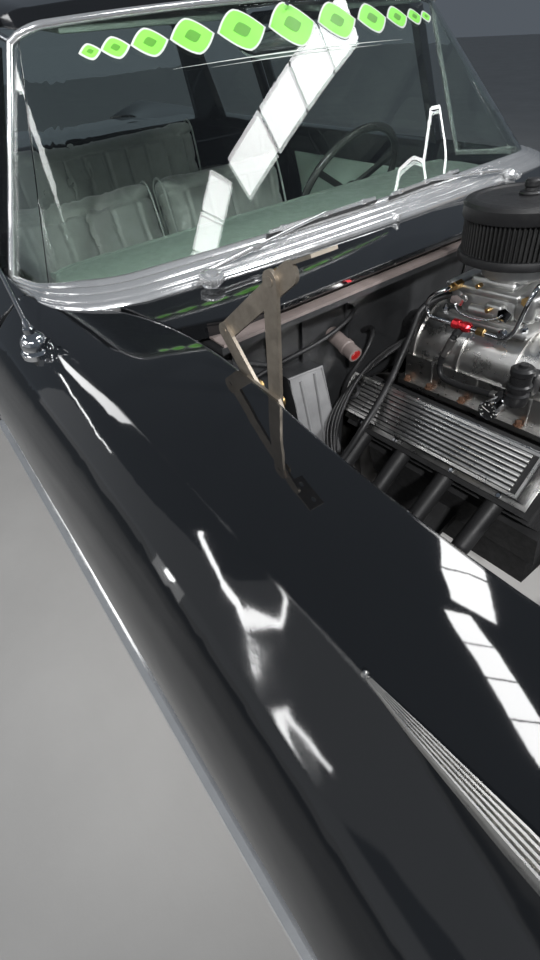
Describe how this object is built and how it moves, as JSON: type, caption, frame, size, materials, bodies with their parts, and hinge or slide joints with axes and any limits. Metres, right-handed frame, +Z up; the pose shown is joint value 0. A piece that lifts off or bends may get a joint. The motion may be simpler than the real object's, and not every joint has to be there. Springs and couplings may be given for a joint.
{
  "type": "two-door hot rod sedan",
  "caption": "Full-size two-door sedan hot rod with an open engine bay, a supercharged V8, steering, doors, a trunk lid and free-rolling wheels.",
  "frame": {"origin": "on the ground under the middle of the car's length and width", "axes": "+X forward, +Y to the car's left, +Z up"},
  "size_m": [5.0798, 1.9022, 1.5005],
  "materials": {
    "black_paint": "gloss black paint",
    "satin_black": "satin black paint",
    "bay_grey": "dark grey paint",
    "chrome": "bright chrome plate",
    "clear_glass": "green tinted glass",
    "lamp_glass": "clear lamp glass",
    "red_lens": "red lens",
    "tyre_rubber": "black tyre rubber",
    "polished_alloy": "polished cast aluminium",
    "cast_alloy": "cast aluminium",
    "cast_iron": "black painted cast iron",
    "steel": "bare steel",
    "old_steel": "aged bare steel",
    "black_element": "black pleated element and lid",
    "seat_cloth": "light grey seat cloth",
    "dash_paint": "grey-green paint",
    "wheel_plastic": "black steering wheel rim",
    "drum_steel": "brake parts"
  },
  "bodies": {
    "body": {"air_cleaner": "black_element", "antenna": "chrome", "bay_aprons": "bay_grey", "belt_drive": "steel", "carburettor": "cast_alloy", "chassis_frame": "satin_black", "cowl_top": "black_paint", "dashboard": "dash_paint", "driveline": "steel", "engine_block": "cast_iron", "engine_hoses": "black_element", "exhaust_headers": "satin_black", "exhaust_pipes": "steel", "fender_left": "black_paint", "fender_right": "black_paint", "firewall": "bay_grey", "floor_pan": "satin_black", "front_bumper": "chrome", "front_seat": "seat_cloth", "front_suspension": "satin_black", "fuel_tank": "steel", "grille": "chrome", "headlamps": "lamp_glass", "hood_hinges": "old_steel", "nose_panel": "black_paint", "quarter_left": "black_paint", "quarter_right": "black_paint", "quarter_windows": "clear_glass", "radiator": "satin_black", "rear_axle": "satin_black", "rear_bumper": "chrome", "rear_deck": "black_paint", "rear_pan": "satin_black", "rear_seat": "seat_cloth", "rear_window": "clear_glass", "roof": "black_paint", "sills": "black_paint", "steering_column": "dash_paint", "supercharger": "polished_alloy", "tail_lamps": "red_lens", "tail_panel": "black_paint", "valve_covers": "polished_alloy", "windshield": "clear_glass", "wipers": "chrome"},
    "door_left": {"door_left": "black_paint", "door_glass_left": "clear_glass"},
    "door_right": {"door_right": "black_paint", "door_glass_right": "clear_glass"},
    "trunk_lid": {"trunk_lid": "black_paint"},
    "steering_wheel": {"steering_wheel": "wheel_plastic"},
    "knuckle_left": {"knuckle_left": "drum_steel"},
    "knuckle_right": {"knuckle_right": "drum_steel"},
    "wheel_front_left": {"wheel_front_left": "polished_alloy", "tyre_front_left": "tyre_rubber"},
    "wheel_front_right": {"wheel_front_right": "polished_alloy", "tyre_front_right": "tyre_rubber"},
    "wheel_rear_left": {"wheel_rear_left": "polished_alloy", "tyre_rear_left": "tyre_rubber"},
    "wheel_rear_right": {"wheel_rear_right": "polished_alloy", "tyre_rear_right": "tyre_rubber"}
  },
  "joints": [
    {"name": "steer_left", "type": "hinge", "parent": "body", "child": "knuckle_left", "pos_m": [1.69, 0.605, 0.35], "axis": [0, 0, 1], "range_deg": [-30, 30]},
    {"name": "spin_front_left", "type": "hinge", "parent": "knuckle_left", "child": "wheel_front_left", "pos_m": [1.69, 0.7365, 0.35], "axis": [0, 1, 0], "continuous": true},
    {"name": "spin_rear_left", "type": "hinge", "parent": "body", "child": "wheel_rear_left", "pos_m": [-1.231, 0.747, 0.35], "axis": [0, 1, 0], "continuous": true},
    {"name": "door_left_hinge", "type": "hinge", "parent": "body", "child": "door_left", "pos_m": [0.679, 0.893, 0.64], "axis": [0, 0, -1], "range_deg": [0, 65]},
    {"name": "steer_right", "type": "hinge", "parent": "body", "child": "knuckle_right", "pos_m": [1.69, -0.605, 0.35], "axis": [0, 0, 1], "range_deg": [-30, 30]},
    {"name": "spin_front_right", "type": "hinge", "parent": "knuckle_right", "child": "wheel_front_right", "pos_m": [1.69, -0.7365, 0.35], "axis": [0, 1, 0], "continuous": true},
    {"name": "spin_rear_right", "type": "hinge", "parent": "body", "child": "wheel_rear_right", "pos_m": [-1.231, -0.747, 0.35], "axis": [0, 1, 0], "continuous": true},
    {"name": "door_right_hinge", "type": "hinge", "parent": "body", "child": "door_right", "pos_m": [0.679, -0.893, 0.64], "axis": [0, 0, 1], "range_deg": [0, 65]},
    {"name": "trunk_lid_hinge", "type": "hinge", "parent": "body", "child": "trunk_lid", "pos_m": [-1.5025, 0, 0.991], "axis": [0, 1, 0], "range_deg": [0, 60]},
    {"name": "steering_wheel_turn", "type": "hinge", "parent": "body", "child": "steering_wheel", "pos_m": [0.29, 0.38, 0.905], "axis": [-0.9009, 0, 0.4341], "range_deg": [-540, 540]}
  ],
  "couplings": [
    {"joint": "steer_right", "follows": "steer_left", "ratio": 1},
    {"joint": "steering_wheel_turn", "follows": "steer_left", "ratio": 18}
  ]
}
